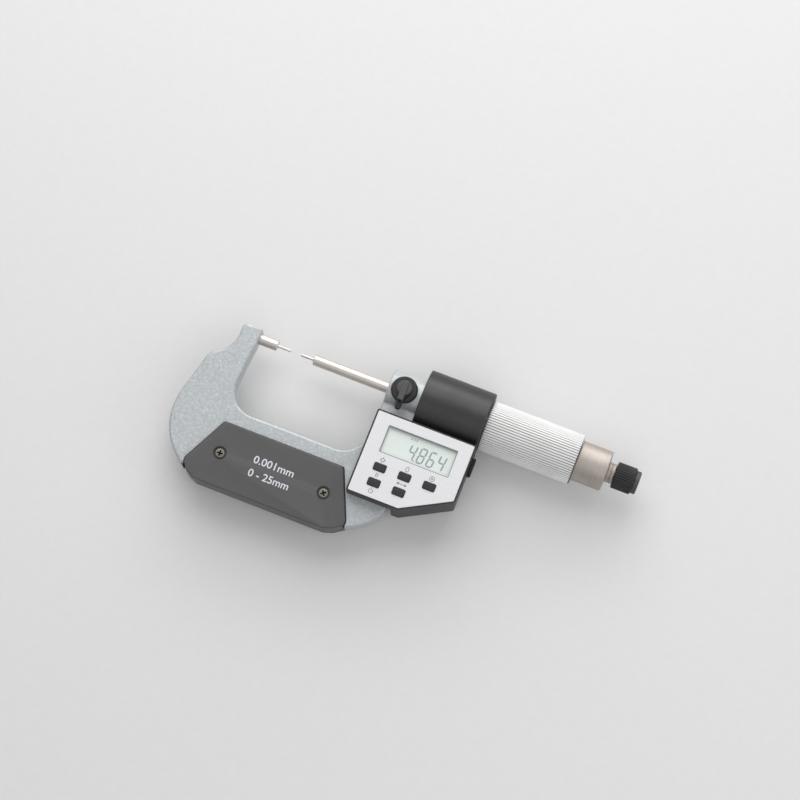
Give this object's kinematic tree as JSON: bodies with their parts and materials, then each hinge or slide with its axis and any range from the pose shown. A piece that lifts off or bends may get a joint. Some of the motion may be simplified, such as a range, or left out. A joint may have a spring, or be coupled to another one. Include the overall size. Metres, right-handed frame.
{
  "type": "outside micrometer",
  "caption": "Outside micrometer with digital display: C-frame, small-diameter measuring tips, fluted thimble, ratchet stop and spindle lock.",
  "frame": {"origin": "centre of the anvil's measuring face, on the measuring axis", "axes": "+X along the measuring axis from the anvil towards the ratchet, +Y in the plane of the C-frame from its grip towards the measuring axis, +Z out of the display face"},
  "size_m": [0.1954, 0.0811, 0.028],
  "materials": {
    "hammered_paint": "hammered",
    "ground_steel": "ground",
    "satin_aluminium": "satin",
    "grip_plastic": "satin",
    "housing_black": "satin",
    "panel_silver": "satin",
    "button_rubber": "matte",
    "seal_rubber": "matte",
    "window_clear": "clear",
    "lcd_glass": "gloss",
    "barrel_black": "satin",
    "board_green": "gloss",
    "nickel_steel": "satin",
    "screw_steel": "satin",
    "knob_black": "black anodised",
    "lever_black": "satin",
    "brass": "plain",
    "bronze": "plain",
    "polymer": "matte",
    "flex_amber": "gloss"
  },
  "bodies": {
    "frame": {"frame": "hammered_paint", "anvil": "ground_steel", "guide_sleeve": "ground_steel", "spindle_wiper": "seal_rubber", "adjusting_nut": "ground_steel", "grip_plate_front": "grip_plastic", "grip_plate_rear": "grip_plastic", "grip_screws_front": "screw_steel", "grip_screws_rear": "screw_steel", "display_housing": "housing_black", "display_panel": "panel_silver", "panel_gasket": "seal_rubber", "lcd_window": "window_clear", "lcd_module": "lcd_glass", "lcd_connectors": "seal_rubber", "circuit_board": "board_green", "board_screws": "screw_steel", "housing_screws": "screw_steel", "switch_domes": "nickel_steel", "battery": "nickel_steel", "battery_contacts": "brass", "data_port": "polymer", "barrel_cover": "barrel_black", "barrel_screws": "screw_steel", "thimble_seal": "seal_rubber", "stator_carrier": "polymer", "encoder_stator": "board_green", "encoder_flex_cable": "flex_amber", "thimble_retaining_ring": "screw_steel"},
    "thimble": {"thimble": "satin_aluminium", "thimble_hub": "satin_aluminium", "thimble_bush": "bronze", "encoder_rotor": "board_green"},
    "spindle": {"spindle": "ground_steel", "inner_thimble": "nickel_steel", "thimble_key": "ground_steel", "ratchet_stem": "nickel_steel", "ratchet_end_screw": "knob_black", "ratchet_spring": "screw_steel"},
    "ratchet_disc": {"ratchet_disc": "ground_steel"},
    "ratchet_knob": {"ratchet_knob": "knob_black"},
    "lock_lever": {"lock_lever": "lever_black", "lock_screw": "lever_black"},
    "lock_shoe": {"lock_shoe": "brass"},
    "button_set": {"button_set": "button_rubber"},
    "button_zero": {"button_zero": "button_rubber"},
    "button_data": {"button_data": "button_rubber"},
    "button_power": {"button_power": "button_rubber"},
    "button_units": {"button_units": "button_rubber"},
    "battery_cap_seal": {"battery_cap_seal": "seal_rubber"},
    "battery_cap": {"battery_cap": "housing_black"},
    "data_port_cover": {"data_port_cover": "seal_rubber"}
  },
  "joints": [
    {"name": "thimble_turn", "type": "hinge", "parent": "frame", "child": "thimble", "pos_m": [0.11, 0, 0], "axis": [1, 0, 0], "range_deg": [-3502.08, 14497.92]},
    {"name": "spindle_feed", "type": "slide", "parent": "thimble", "child": "spindle", "axis": [1, 0, 0], "range_m": [-0.00487, 0.02014]},
    {"name": "ratchet_turn", "type": "hinge", "parent": "spindle", "child": "ratchet_knob", "pos_m": [0.151, 0, 0], "axis": [1, 0, 0], "continuous": true},
    {"name": "ratchet_click", "type": "slide", "parent": "spindle", "child": "ratchet_disc", "axis": [1, 0, 0], "range_m": [0, 0.0004], "deforming": ["ratchet_spring"]},
    {"name": "lock_turn", "type": "hinge", "parent": "frame", "child": "lock_lever", "pos_m": [0.05225, 0, 0.01], "axis": [0, 0, 1], "range_deg": [-80, 10]},
    {"name": "lock_press", "type": "slide", "parent": "frame", "child": "lock_shoe", "axis": [0, 0, -1], "range_m": [-0.00001, 0.00004]},
    {"name": "button_set_press", "type": "slide", "parent": "frame", "child": "button_set", "axis": [0, 0, -1], "range_m": [0, 0.0005]},
    {"name": "button_zero_press", "type": "slide", "parent": "frame", "child": "button_zero", "axis": [0, 0, -1], "range_m": [0, 0.0005]},
    {"name": "button_data_press", "type": "slide", "parent": "frame", "child": "button_data", "axis": [0, 0, -1], "range_m": [0, 0.0005]},
    {"name": "button_power_press", "type": "slide", "parent": "frame", "child": "button_power", "axis": [0, 0, -1], "range_m": [0, 0.0005]},
    {"name": "button_units_press", "type": "slide", "parent": "frame", "child": "button_units", "axis": [0, 0, -1], "range_m": [0, 0.0005]},
    {"name": "battery_cap_lift", "type": "slide", "parent": "frame", "child": "battery_cap_seal", "axis": [0, 0, -1], "range_m": [0, 0.0031]},
    {"name": "battery_cap_turn", "type": "hinge", "parent": "battery_cap_seal", "child": "battery_cap", "pos_m": [0.076, -0.0272, -0.0085], "axis": [0, 0, -1], "range_deg": [-1080, 0]},
    {"name": "data_cover_pull", "type": "slide", "parent": "frame", "child": "data_port_cover", "axis": [1, 0, 0], "range_m": [0, 0.006]}
  ],
  "couplings": [
    {"joint": "spindle_feed", "follows": "thimble_turn", "m_per_rad": 0.000079577},
    {"joint": "lock_press", "follows": "lock_turn", "m_per_rad": -0.000025},
    {"joint": "battery_cap_lift", "follows": "battery_cap_turn", "m_per_rad": -0.00015915}
  ]
}
